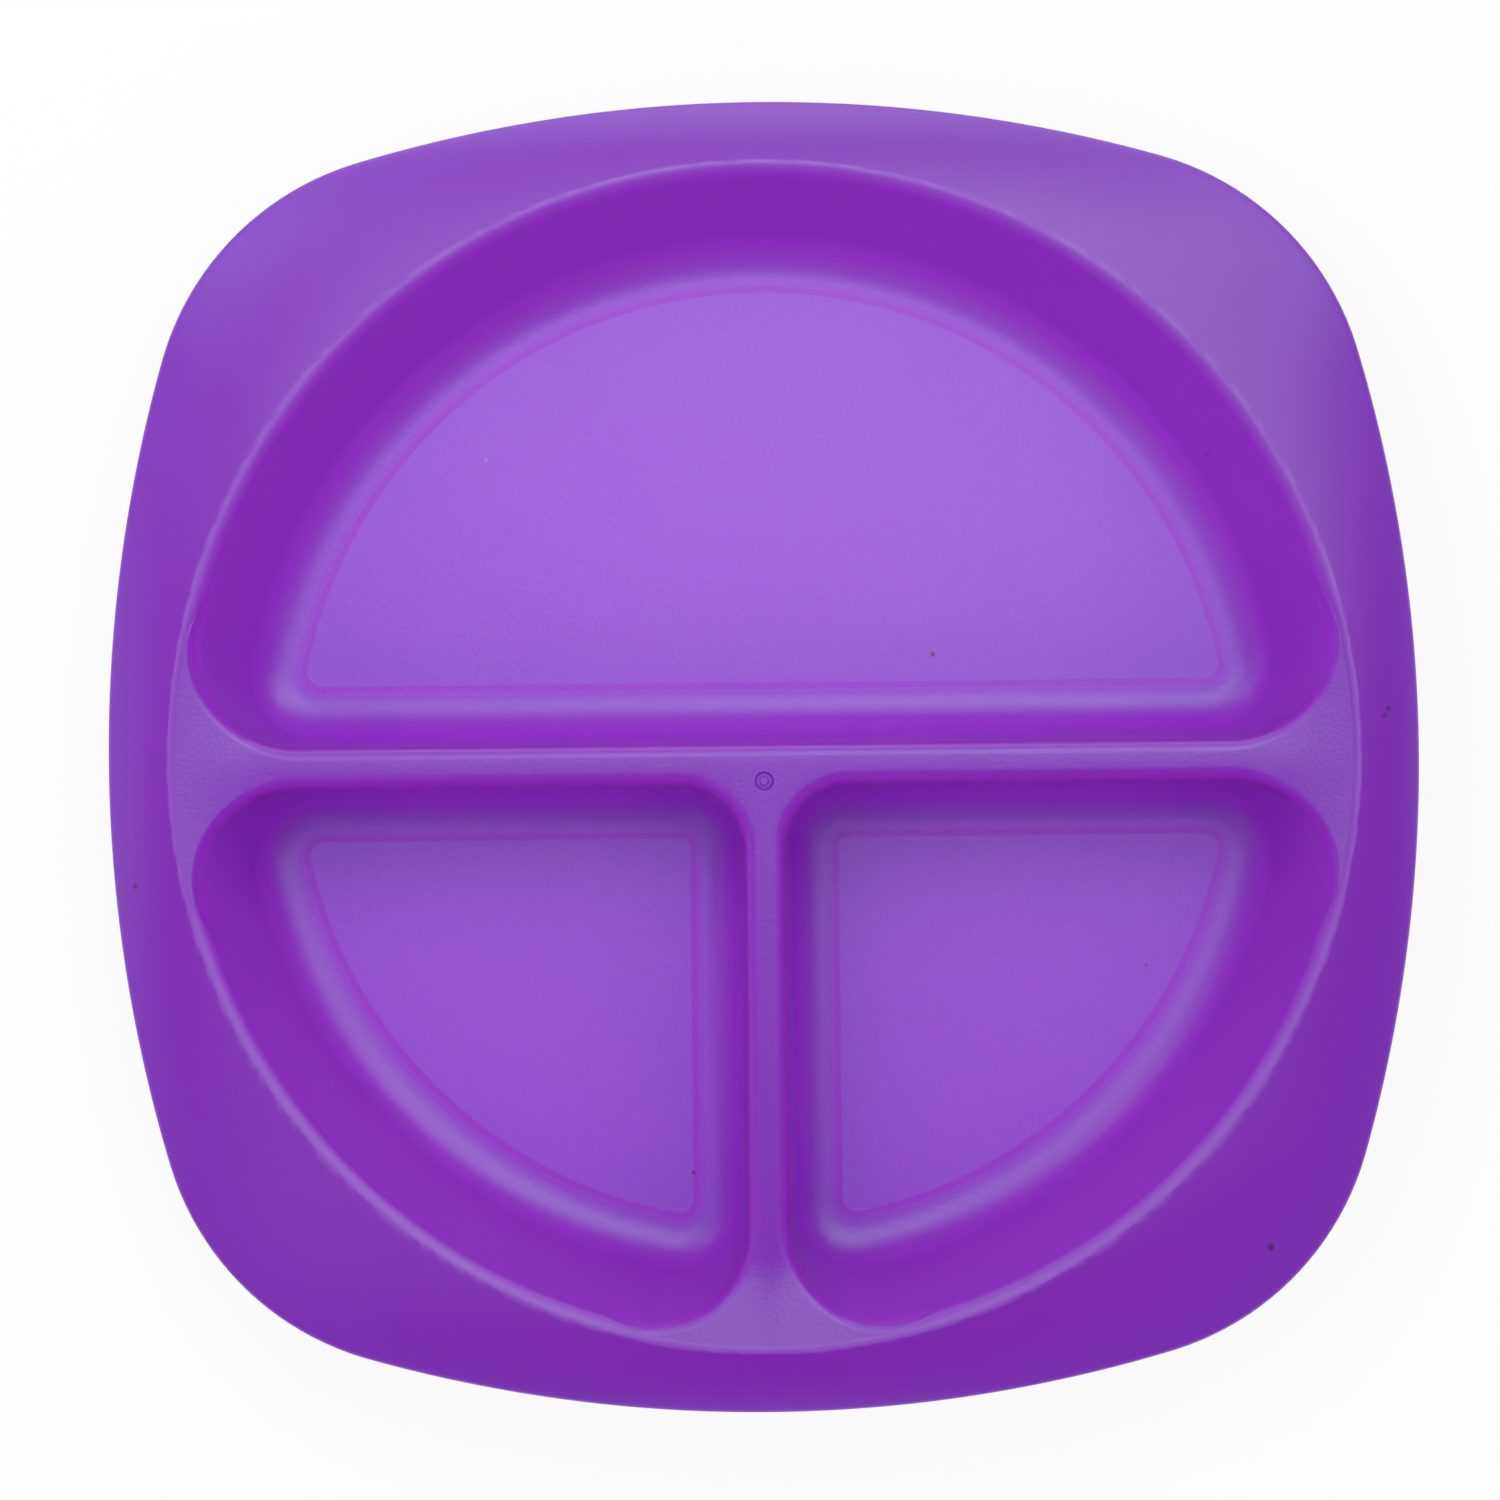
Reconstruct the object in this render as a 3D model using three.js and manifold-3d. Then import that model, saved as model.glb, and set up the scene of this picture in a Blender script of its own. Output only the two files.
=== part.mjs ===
// Divided portion plate, moulded in one piece: a rounded-square rim round a circular bowl,
// and a T-shaped divider that parts the bowl into one half-round and two quarter-round
// compartments. The wall is a shell of even thickness, open below under the divider and the rim.
// Millimetres, +Z up, origin on the table under the middle of the plate, +Y towards the
// half-round compartment.

import * as THREE from 'three';
import { mergeVertices } from 'three/addons/utils/BufferGeometryUtils.js';
import Module from 'manifold-3d';

const degree = Math.PI / 180;

// Whole plate
const plateWidth = 187; // across the middles of two opposite sides
const plateHeight = 31.8; // table to the top of the rim
const wall = 2; // moulded wall, the same all over

// Rim
const sideArcRadius = 206; // gentle bow of each side of the rounded square
const cornerArcRadius = 41;
const rimWidth = 10.96; // bowl edge to the outside at the middle of a side
const rimRound = 2.6; // edge between bowl and rim, up to the ridge
const lipDrop = 5; // from the ridge down to the round nose of the rim
const lipBend = 20 * degree; // how far the flange bends on the way

// Bowl
const bowlDraft = 14.3 * degree; // lean of the outer wall from upright
const bowlFillet = 6.6; // outer wall into the floors

// Divider
const dividerDrop = 2; // top of the divider below the top of the rim
const dividerCore = 1.8; // hollow between the two walls, at the top of the divider
const dividerShift = 0.95; // cross bar off the middle of the bowl, towards the quarters
const dividerDraft = 3 * degree;
const dividerRound = 1.5; // edges of the divider's top
const halfFillet = 6; // divider into the floor of the half-round compartment
const quarterFillet = 5; // divider into the floors of the quarters

// Fan-shaped ends of the divider, dished up towards the rim
const fanLedge = 1.5; // width of top over which the tip of a fan rises to its full height
const fanSlope = 42 * degree; // of the bowl's rounded edge where the fan meets it
const fanFillet = 0.8; // fan into the rounded edge
const dishSlope = 12 * degree; // of the fan's top where its fillet begins

// Corners of the floors, in plan
const cornerRadius = 4; // where the outer wall meets the divider
const innerCornerRadius = 3; // where the bar and the stem of the T meet

// Standing bead under the edge of each floor
const beadHeight = 0.8;
const beadWidth = 1.8;
const beadBevel = 0.3;

// Mark of the injection gate, on the top of the divider where the T joins
const gateDiameter = 2.8;
const gateNubDiameter = 1.3;
const gateDepth = 0.35;
const gateBevel = 0.3;
const gateShift = 2.45; // from the middle of the cross bar along the stem

// Facets
const filletSteps = 4;
const edgeSteps = 3;
const lipSteps = 4;
const noseSteps = 2; // on each side of the outermost line of the rim
const cornerSteps = 4; // half of a corner arc
const innerCornerSteps = 4; // half of an inner corner arc
const lineSteps = 3; // straight stretch of a divider wall
const halfArcSteps = 40; // outer wall of the half-round compartment
const quarterArcSteps = 17; // outer wall of a quarter
const gateSteps = 20;
const lipTrials = 4; // rounds that settle the end of the flange's arc

// Heights and widths that follow
const rimTop = plateHeight;
const deckTop = plateHeight - dividerDrop;
const floorTop = beadHeight + wall;
const bowlRadius = plateWidth / 2 - rimWidth;
const dividerWidth = dividerCore + 2 * wall;
const quarterTurn = Math.PI / 2;

// The three kinds of wall, each by its sharp top edge, its draft and its fillet at the floor.
const bowlSide = { top: rimTop, draft: bowlDraft, fillet: bowlFillet };
const halfSide = { top: deckTop, draft: dividerDraft, fillet: halfFillet };
const quarterSide = { top: deckTop, draft: dividerDraft, fillet: quarterFillet };

// How far in from its sharp top edge a wall stands where its fillet runs out into the floor.
function floorInset(side) {
  const rise = side.top - floorTop - side.fillet;
  return rise * Math.tan(side.draft) + side.fillet / Math.cos(side.draft);
}

// How far in a wall stands at height z. The food side has a skin of zero, the underside of one wall.
function wallInset(side, z, skin) {
  const filletReach = side.fillet + skin;
  const below = floorTop + side.fillet - z;
  if (below > filletReach * Math.sin(side.draft)) {
    return floorInset(side) - Math.sqrt(Math.max(0, filletReach ** 2 - below ** 2));
  }
  return (side.top - z) * Math.tan(side.draft) - skin / Math.cos(side.draft);
}

// Rounded top edge of a wall: turn runs from the draft, on the wall, to a right angle, on the top.
function edgeInset(side, round, turn) {
  return round * (Math.tan(side.draft) - 1 / Math.cos(side.draft) + Math.cos(turn));
}

function edgeHeight(side, round, turn) {
  return side.top - round * (1 - Math.sin(turn));
}

// The numbers from first to last in even steps, without the last.
function spread(first, last, steps) {
  return Array.from({ length: steps }, (_, i) => first + ((last - first) * i) / steps);
}

function arc(x, y, radius, from, to, steps, z) {
  return spread(from, to, steps).map(
    (turn) => new THREE.Vector3(x + radius * Math.cos(turn), y + radius * Math.sin(turn), z),
  );
}

function line(x0, y0, x1, y1, steps, z) {
  const start = new THREE.Vector3(x0, y0, z);
  const end = new THREE.Vector3(x1, y1, z);
  return spread(0, 1, steps).map((share) => start.clone().lerp(end, share));
}

function polar(radius, turn, z) {
  return new THREE.Vector3(radius * Math.cos(turn), radius * Math.sin(turn), z);
}

// A level cut through a compartment: the radius of its outer wall, the gap from its divider
// walls to their middle lines, and its corners, which grow as the walls spread.
function cut(side, z, skin, dividerInset = wallInset(side, z, skin)) {
  const bowlInset = wallInset(bowlSide, z, skin);
  const bowlSpread = floorInset(bowlSide) - bowlInset;
  const dividerSpread = floorInset(side) - dividerInset;
  return {
    z,
    radius: bowlRadius - bowlInset,
    gap: dividerWidth / 2 + dividerInset,
    corner: cornerRadius + (bowlSpread + dividerSpread) / 2,
    innerCorner: innerCornerRadius + dividerSpread,
  };
}

// The same cut drawn in by an even amount, at another height.
function drawnIn(level, amount, z) {
  return {
    z,
    radius: level.radius - amount,
    gap: level.gap + amount,
    corner: level.corner - amount,
    innerCorner: level.innerCorner - amount,
  };
}

// Corner of the half-round compartment on the right, between the cross bar and the outer wall.
function halfCorner(level) {
  const y = level.gap - dividerShift + level.corner;
  const x = Math.sqrt((level.radius - level.corner) ** 2 - y ** 2);
  const lean = Math.atan2(y, x);
  return { x, y, lean, middle: (lean - quarterTurn) / 2 };
}

// Outline of the half-round compartment, anticlockwise from the middle of its right corner.
function halfRing(level) {
  const { z, radius, gap, corner } = level;
  const { x, y, lean, middle } = halfCorner(level);
  const barY = gap - dividerShift;
  const inner = quarterCorners(quarterDeck).inner.x;
  return [
    ...arc(x, y, corner, middle, lean, cornerSteps, z),
    ...arc(0, 0, radius, lean, Math.PI - lean, halfArcSteps, z),
    ...arc(-x, y, corner, Math.PI - lean, Math.PI - middle, cornerSteps, z),
    ...arc(-x, y, corner, Math.PI - middle, 3 * quarterTurn, cornerSteps, z),
    ...line(-x, barY, inner, barY, lineSteps, z),
    ...line(inner, barY, 0, barY, innerCornerSteps, z),
    ...line(0, barY, -inner, barY, innerCornerSteps, z),
    ...line(-inner, barY, x, barY, lineSteps, z),
    ...arc(x, y, corner, -quarterTurn, middle, cornerSteps, z),
  ];
}

// Corners of the left quarter: beside the cross bar, beside the stem, and in the T.
function quarterCorners(level) {
  const { radius, gap, corner, innerCorner } = level;
  const barY = -dividerShift - gap - corner;
  const barX = -Math.sqrt((radius - corner) ** 2 - barY ** 2);
  const stemX = -gap - corner;
  const stemY = -Math.sqrt((radius - corner) ** 2 - stemX ** 2);
  const barLean = Math.PI + Math.atan2(-barY, -barX);
  const stemLean = Math.PI + Math.atan2(-stemY, -stemX);
  return {
    bar: { x: barX, y: barY, lean: barLean, middle: (barLean + quarterTurn) / 2 },
    stem: { x: stemX, y: stemY, lean: stemLean, middle: (stemLean + 4 * quarterTurn) / 2 },
    inner: { x: -gap - innerCorner, y: -dividerShift - gap - innerCorner },
  };
}

// Outline of the left quarter, anticlockwise from the middle of its corner beside the cross bar.
function quarterRing(level) {
  const { z, radius, gap, corner, innerCorner } = level;
  const { bar, stem, inner } = quarterCorners(level);
  const barY = -dividerShift - gap;
  return [
    ...arc(bar.x, bar.y, corner, bar.middle, bar.lean, cornerSteps, z),
    ...arc(0, 0, radius, bar.lean, stem.lean, quarterArcSteps, z),
    ...arc(stem.x, stem.y, corner, stem.lean, stem.middle, cornerSteps, z),
    ...arc(stem.x, stem.y, corner, stem.middle, 4 * quarterTurn, cornerSteps, z),
    ...line(-gap, stem.y, -gap, inner.y, lineSteps, z),
    ...arc(inner.x, inner.y, innerCorner, 0, quarterTurn / 2, innerCornerSteps, z),
    ...arc(inner.x, inner.y, innerCorner, quarterTurn / 2, quarterTurn, innerCornerSteps, z),
    ...line(inner.x, barY, bar.x, barY, lineSteps, z),
    ...arc(bar.x, bar.y, corner, quarterTurn, bar.middle, cornerSteps, z),
  ];
}

// The cuts of both kinds of compartment at the top of the divider, where its edges are fully round.
const flatInset = edgeInset(halfSide, dividerRound, quarterTurn);
const halfDeck = cut(halfSide, deckTop, 0, flatInset);
const quarterDeck = cut(quarterSide, deckTop, 0, flatInset);

// Directions from the middle of the plate, along the outer wall of each compartment, from the
// end of one divider to the end of the next.
const barEnd = Math.asin(dividerShift / halfDeck.radius);
const halfLean = halfCorner(halfDeck).lean;
const quarterLeans = quarterCorners(quarterDeck);
const halfTurns = [
  ...spread(-barEnd, halfLean, cornerSteps),
  ...spread(halfLean, Math.PI - halfLean, halfArcSteps),
  ...spread(Math.PI - halfLean, Math.PI + barEnd, cornerSteps),
  Math.PI + barEnd,
];
const quarterTurns = [
  ...spread(Math.PI + barEnd, quarterLeans.bar.lean, cornerSteps),
  ...spread(quarterLeans.bar.lean, quarterLeans.stem.lean, quarterArcSteps),
  ...spread(quarterLeans.stem.lean, 3 * quarterTurn, cornerSteps),
  3 * quarterTurn,
];

// Middle lines of the cross bar and of the stem, each from the bowl wall to the middle of the T.
// The end point itself belongs to the row along the bowl wall.
function middleLines(endRadius, z) {
  const cornerX = -(halfCorner(halfDeck).x - quarterLeans.bar.x) / 2;
  const end = polar(endRadius, Math.PI + barEnd, z);
  const bar = [
    ...line(end.x, end.y, cornerX, -dividerShift, cornerSteps, z),
    ...line(cornerX, -dividerShift, quarterLeans.inner.x, -dividerShift, lineSteps, z),
    ...line(quarterLeans.inner.x, -dividerShift, 0, -dividerShift, innerCornerSteps, z),
  ];
  const stem = [
    ...line(0, -endRadius, 0, quarterLeans.stem.y, cornerSteps, z),
    ...line(0, quarterLeans.stem.y, 0, quarterLeans.inner.y, lineSteps, z),
    ...line(0, quarterLeans.inner.y, 0, -dividerShift, innerCornerSteps, z),
  ];
  return { bar, stem, middle: new THREE.Vector3(0, -dividerShift, z) };
}

function mirrored(points) {
  return points.map((point) => new THREE.Vector3(-point.x, point.y, point.z));
}

// Middle lines that close the half-round compartment, left to right.
function halfMiddle(endRadius, z) {
  const { bar, middle } = middleLines(endRadius, z);
  return [...bar.slice(1), middle, ...mirrored(bar.slice(1)).reverse()];
}

// Middle lines that close the left quarter: up the stem and out along the cross bar.
function quarterMiddle(endRadius, z) {
  const { bar, stem, middle } = middleLines(endRadius, z);
  return [...stem.slice(1), middle, ...bar.slice(1).reverse()];
}

// Triangles between two rows of points that run anticlockwise, seen from above.
function strip(inner, outer, facesUp) {
  const corners = [];
  for (let i = 0; i + 1 < inner.length; i += 1) {
    const first = [inner[i], outer[i], outer[i + 1]];
    const second = [inner[i], outer[i + 1], inner[i + 1]];
    corners.push(...(facesUp ? first : first.reverse()));
    corners.push(...(facesUp ? second : second.reverse()));
  }
  return corners;
}

function closed(ring) {
  return [...ring, ring[0]];
}

function stack(rings, facesUp) {
  return rings.slice(1).flatMap((ring, i) => strip(closed(rings[i]), closed(ring), facesUp));
}

// A level floor inside one ring.
function floor(ring, facesUp) {
  const middle = ring.reduce((sum, point) => sum.add(point), new THREE.Vector3());
  middle.divideScalar(ring.length);
  return strip(closed(ring.map(() => middle)), closed(ring), facesUp);
}

// A fan-shaped end of the divider rises in a dish to a small fillet, which meets the rounded edge
// of the bowl part of the way up.
const fanTurn = quarterTurn - fanSlope;
const fanEdge = bowlRadius - edgeInset(bowlSide, rimRound, fanTurn);
const fanTop = edgeHeight(bowlSide, rimRound, fanTurn);
const dishEnd = fanEdge - fanFillet * (Math.sin(fanSlope) - Math.sin(dishSlope));
const dishRise = fanTop - fanFillet * (Math.cos(dishSlope) - Math.cos(fanSlope)) - deckTop;
const dishReach = (2 * dishRise) / Math.tan(dishSlope);

function dishLift(point) {
  const share = 1 + (Math.hypot(point.x, point.y) - dishEnd) / dishReach;
  return dishRise * THREE.MathUtils.clamp(share, 0, 1) ** 2;
}

// How far each point of a ring stands on the divider: 0 along the bowl, 1 once clear of it.
function ledgeShares(ring) {
  return ring.map((point) => {
    const ledge = halfDeck.radius - Math.hypot(point.x, point.y);
    return ledge < wall / 100 ? 0 : Math.min(1, ledge / fanLedge);
  });
}

function raised(points, lifts) {
  return points.map((point, i) => new THREE.Vector3(point.x, point.y, point.z + lifts[i]));
}

function fanRows(shares, turns) {
  const foot = halfDeck.radius;
  return [...spread(dishSlope, fanSlope, edgeSteps), fanSlope].map((slope) => {
    const reach = fanEdge - fanFillet * (Math.sin(fanSlope) - Math.sin(slope)) - foot;
    const rise = fanTop - fanFillet * (Math.cos(slope) - Math.cos(fanSlope)) - deckTop;
    return turns.map((turn, i) =>
      polar(foot + shares[i] * reach, turn, deckTop + shares[i] * rise),
    );
  });
}

// Food side of a compartment: floor, fillet, wall, rounded divider edge, half of the divider's
// top, and the fillets at the fan-shaped ends.
function foodSide(kind, shares, lifts) {
  const filletTurns = [...spread(0, quarterTurn - bowlDraft, filletSteps), quarterTurn - bowlDraft];
  const edgeTurns = [...spread(dividerDraft, quarterTurn, edgeSteps), quarterTurn];
  const wallRings = filletTurns.map((turn) =>
    kind.ring(cut(kind.side, floorTop + bowlFillet * (1 - Math.cos(turn)), 0)),
  );
  const edgeRings = edgeTurns.map((turn) => {
    const height = edgeHeight(kind.side, dividerRound, turn);
    const inset = edgeInset(kind.side, dividerRound, turn);
    return raised(kind.ring(cut(kind.side, height, 0, inset)), lifts);
  });
  const rings = [...wallRings, ...edgeRings];
  const fans = fanRows(shares, kind.turns);
  const middle = kind.middle(dishEnd, deckTop);
  const deckEdge = [...fans[0], ...raised(middle, middle.map(dishLift))];
  const fanStrips = fans.slice(1).flatMap((row, i) => strip(fans[i], row, true));
  const faces = [
    ...floor(rings[0], true),
    ...stack(rings, true),
    ...strip(closed(rings.at(-1)), closed(deckEdge), true),
    ...fanStrips,
  ];
  return { faces, topRow: fans.at(-1) };
}

// Underside of a compartment: floor, standing bead, wall, and the hollow below the divider.
function underSide(kind, shares, lifts) {
  const floorUnder = floorTop - wall;
  const hollowTop = deckTop - wall;
  const filletReach = bowlFillet + wall;
  const filletTurns = [...spread(0, quarterTurn - bowlDraft, filletSteps), quarterTurn - bowlDraft];
  const floorCut = cut(kind.side, floorUnder, wall);
  const levels = [
    drawnIn(floorCut, beadWidth, floorUnder),
    drawnIn(floorCut, beadWidth - beadBevel, floorUnder - beadHeight),
    drawnIn(floorCut, beadBevel, floorUnder - beadHeight),
    ...filletTurns.map((turn) =>
      cut(kind.side, floorTop + bowlFillet - filletReach * Math.cos(turn), wall),
    ),
  ];
  const hollowCut = cut(kind.side, hollowTop, wall);
  const rings = [...levels.map(kind.ring), raised(kind.ring(hollowCut), lifts)];
  const topRow = kind.turns.map((turn, i) =>
    polar(hollowCut.radius, turn, hollowTop + shares[i] * dishRise),
  );
  const middle = kind.middle(hollowCut.radius, hollowTop);
  const hollowEdge = [...topRow, ...raised(middle, middle.map(dishLift))];
  const faces = [
    ...floor(rings[0], false),
    ...stack(rings, false),
    ...strip(closed(rings.at(-1)), closed(hollowEdge), false),
  ];
  return { faces, topRow };
}

// Rounded-square outline: side arcs that run tangent into corner arcs.
const sideCentre = sideArcRadius - plateWidth / 2;
const arcGap = sideArcRadius - cornerArcRadius;
const cornerCentre = (Math.sqrt(2 * arcGap ** 2 - sideCentre ** 2) - sideCentre) / 2;

// Distance from the middle of the plate to the outline drawn in by an even amount.
function outlineReach(turn, amount) {
  const side = Math.round(turn / quarterTurn) * quarterTurn;
  const bend = Math.abs(turn - side);
  const alongX = (cornerCentre + sideCentre) / arcGap;
  const alongY = cornerCentre / arcGap;
  const sideRadius = sideArcRadius - amount;
  const meeting = Math.atan2(sideRadius * alongY, sideRadius * alongX - sideCentre);
  const onSide = bend < meeting;
  const x = onSide ? -sideCentre : cornerCentre;
  const y = onSide ? 0 : cornerCentre;
  const radius = onSide ? sideRadius : cornerArcRadius - amount;
  const nearest = x * Math.cos(bend) + y * Math.sin(bend);
  return nearest + Math.sqrt(radius ** 2 - x ** 2 - y ** 2 + nearest ** 2);
}

// The flange's section along a ray: an arc from the ridge to the nose, the nose, and the arc one
// wall lower. It bends by the same angle all round and drops as far, so it is flatter towards the
// corners. The arc's end and its slope there depend on each other, and a few trials settle them.
const ridge = bowlRadius - edgeInset(bowlSide, rimRound, quarterTurn);
const noseRadius = wall / 2;

function flangeSection(turn) {
  let width = outlineReach(turn, noseRadius) - ridge;
  let last = lipBend;
  for (let trial = 0; trial < lipTrials; trial += 1) {
    last = Math.atan2(lipDrop, width) + lipBend / 2;
    width = outlineReach(turn, noseRadius * (1 - Math.sin(last))) - ridge;
  }
  const first = last - lipBend;
  const bendRadius = width / (Math.sin(last) - Math.sin(first));
  const slopes = [...spread(first, last, lipSteps), last];
  const noseTurns = [
    ...spread(last, quarterTurn, noseSteps).slice(1),
    ...spread(quarterTurn, last + 2 * quarterTurn, noseSteps),
  ];
  const above = slopes.map((slope) => ({
    radius: ridge + bendRadius * (Math.sin(slope) - Math.sin(first)),
    z: rimTop - bendRadius * (Math.cos(first) - Math.cos(slope)),
    slope,
  }));
  const noseTop = above.at(-1).z;
  const nose = noseTurns.map((bend) => ({
    radius: outlineReach(turn, noseRadius * (1 - Math.sin(bend))),
    z: noseTop + noseRadius * (Math.cos(bend) - Math.cos(last)),
  }));
  const below = above.slice(1).map(({ radius, z, slope }) => ({
    radius: radius - wall * Math.sin(slope),
    z: z - wall * Math.cos(slope),
  }));
  return [...above, ...nose, ...below.reverse()];
}

// Rim: rounded edge of the bowl, flange, and the inside corner of the flange and the bowl wall.
// At the ends of the divider the rounded edge starts where the fan meets it.
function rim(turns, shares, foodRow, underRow) {
  const starts = shares.map((share) => bowlDraft + share * (fanTurn - bowlDraft));
  const edgeRows = spread(0, 1, edgeSteps).map((level) =>
    turns.map((turn, i) => {
      const bend = starts[i] + level * (quarterTurn - starts[i]);
      const radius = bowlRadius - edgeInset(bowlSide, rimRound, bend);
      return polar(radius, turn, edgeHeight(bowlSide, rimRound, bend));
    }),
  );
  const sections = turns.map(flangeSection);
  const flangeRows = sections[0].map((_, k) =>
    turns.map((turn, i) => polar(sections[i][k].radius, turn, sections[i][k].z)),
  );
  const underZ = rimTop - wall;
  const underRadius = bowlRadius - wallInset(bowlSide, underZ, wall);
  const insideRow = turns.map((turn) => polar(underRadius, turn, underZ));
  const rows = [foodRow, ...edgeRows, ...flangeRows, insideRow, underRow];
  return rows.slice(1).flatMap((row, i) => strip(rows[i], row, true));
}

// One half of the T and the rim at a time: the half-round compartment, then the left quarter,
// which the right quarter mirrors.
function region(kind) {
  const deckRing = kind.ring(kind.deck);
  const shares = ledgeShares(deckRing);
  const lifts = deckRing.map((point, i) => shares[i] * dishLift(point));
  const rowShares = shares.slice(0, kind.turns.length);
  const food = foodSide(kind, rowShares, lifts);
  const under = underSide(kind, rowShares, lifts);
  const edge = rim(kind.turns, rowShares, food.topRow, under.topRow);
  return [...food.faces, ...under.faces, ...edge];
}

const halfRegion = region({
  side: halfSide,
  deck: halfDeck,
  ring: halfRing,
  turns: halfTurns,
  middle: halfMiddle,
});
const leftRegion = region({
  side: quarterSide,
  deck: quarterDeck,
  ring: quarterRing,
  turns: quarterTurns,
  middle: quarterMiddle,
});
const rightRegion = mirrored(leftRegion).reverse();

// A closed surface from triangle corners: shared points are merged, and triangles that have
// shrunk to a line where a fillet dies out are dropped.
function surface(corners) {
  const soup = new THREE.BufferGeometry().setFromPoints(corners);
  const merged = mergeVertices(soup, 1e-4);
  const index = Array.from(merged.index.array);
  const kept = [];
  for (let i = 0; i < index.length; i += 3) {
    const [a, b, c] = index.slice(i, i + 3);
    if (a !== b && b !== c && c !== a) {
      kept.push(a, b, c);
    }
  }
  merged.setIndex(kept);
  return merged;
}

const wasm = await Module();
wasm.setup();

function toSolid(geometry) {
  return new wasm.Manifold(
    new wasm.Mesh({
      numProp: 3,
      vertProperties: new Float32Array(geometry.attributes.position.array),
      triVerts: new Uint32Array(geometry.index.array),
    }),
  );
}

function toGeometry(solid) {
  const mesh = solid.getMesh();
  const geometry = new THREE.BufferGeometry();
  geometry.setAttribute('position', new THREE.BufferAttribute(mesh.vertProperties, 3));
  geometry.setIndex(new THREE.BufferAttribute(mesh.triVerts, 1));
  geometry.computeVertexNormals();
  return geometry;
}

// Ring-shaped groove of the gate mark, round a nub left level with the divider's top.
function gateGroove() {
  const nubRadius = gateNubDiameter / 2;
  const rimRadius = gateDiameter / 2;
  const profile = [
    new THREE.Vector2(nubRadius, -gateDepth),
    new THREE.Vector2(rimRadius - gateBevel, -gateDepth),
    new THREE.Vector2(rimRadius, 0),
    new THREE.Vector2(rimRadius, gateDepth),
    new THREE.Vector2(nubRadius, gateDepth),
    new THREE.Vector2(nubRadius, -gateDepth),
  ];
  const groove = new THREE.LatheGeometry(profile, gateSteps);
  groove.rotateX(quarterTurn);
  groove.translate(0, -dividerShift - gateShift, deckTop);
  groove.deleteAttribute('normal');
  groove.deleteAttribute('uv');
  return mergeVertices(groove);
}

const shell = toSolid(surface([...halfRegion, ...leftRegion, ...rightRegion]));
const plateSolid = shell.subtract(toSolid(gateGroove()));

const purplePlastic = new THREE.MeshStandardMaterial({
  color: 0x8f4bc8,
  roughness: 0.42,
  metalness: 0,
});
const plate = new THREE.Mesh(toGeometry(plateSolid), purplePlastic);
plate.name = 'plate';

const portionPlate = new THREE.Group();
portionPlate.add(plate);

export default portionPlate;
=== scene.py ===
from cmath import phase, rect
from collections import namedtuple
from math import asin, atan2, cos, pi, radians, sin, sqrt, tan

import bmesh
import bpy
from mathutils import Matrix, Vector


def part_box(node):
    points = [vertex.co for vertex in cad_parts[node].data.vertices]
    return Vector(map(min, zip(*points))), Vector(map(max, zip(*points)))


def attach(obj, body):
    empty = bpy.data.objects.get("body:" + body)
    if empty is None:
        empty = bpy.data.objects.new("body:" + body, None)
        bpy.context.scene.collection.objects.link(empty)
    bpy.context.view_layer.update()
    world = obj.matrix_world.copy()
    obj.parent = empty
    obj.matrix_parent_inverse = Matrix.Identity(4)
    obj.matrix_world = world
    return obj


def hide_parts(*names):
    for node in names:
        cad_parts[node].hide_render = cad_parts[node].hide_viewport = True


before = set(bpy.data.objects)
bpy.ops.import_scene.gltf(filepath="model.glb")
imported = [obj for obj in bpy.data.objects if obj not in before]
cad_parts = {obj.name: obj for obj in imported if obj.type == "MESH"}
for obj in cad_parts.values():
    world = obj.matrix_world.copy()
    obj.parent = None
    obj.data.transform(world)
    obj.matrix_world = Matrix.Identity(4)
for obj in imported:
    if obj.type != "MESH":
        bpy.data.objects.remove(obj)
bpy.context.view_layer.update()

# The bowl and its three compartments. The plate is one injection moulding of satin purple plastic,
# an even shell that was drawn off its mould upwards, so every wall leans outwards and runs into
# the floors in a fillet.

mm = 0.001
quarter_turn = pi / 2

plate_low, plate_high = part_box("plate")
plate_width = plate_high.y - plate_low.y
rim_top = plate_high.z
wall = 2 * mm
bead_height = 0.8 * mm
floor_top = plate_low.z + bead_height + wall

rim_width = 10.96 * mm
bowl_radius = plate_width / 2 - rim_width
bowl_draft = radians(14.3)
bowl_fillet = 6.6 * mm
corner_radius = 4 * mm
inner_corner_radius = 3 * mm

divider_drop = 2 * mm
deck_top = rim_top - divider_drop
divider_hollow = 1.8 * mm
divider_width = divider_hollow + 2 * wall
divider_shift = 0.95 * mm
divider_draft = radians(3)
divider_round = 2 * mm
half_fillet = 6 * mm
quarter_fillet = 5 * mm

fillet_steps = 16
wall_steps = 8
edge_steps = 12
corner_steps = 14
inner_corner_steps = 14
line_steps = 16
half_arc_steps = 150
quarter_arc_steps = 62

# A wall by its sharp top edge, its lean and its fillet at the floor.
Wall = namedtuple("Wall", "top draft fillet")
bowl_wall = Wall(rim_top, bowl_draft, bowl_fillet)
half_wall = Wall(deck_top, divider_draft, half_fillet)
quarter_wall = Wall(deck_top, divider_draft, quarter_fillet)

# A level cut through a compartment: radius of the outer wall, gap from the divider's walls to
# their middle lines, and the radii of the corners. Depth is how far behind the food side it lies.
Cut = namedtuple("Cut", "radius gap corner inner_corner")


def floor_inset(side):
    rise = side.top - floor_top - side.fillet
    return rise * tan(side.draft) + side.fillet / cos(side.draft)


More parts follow.
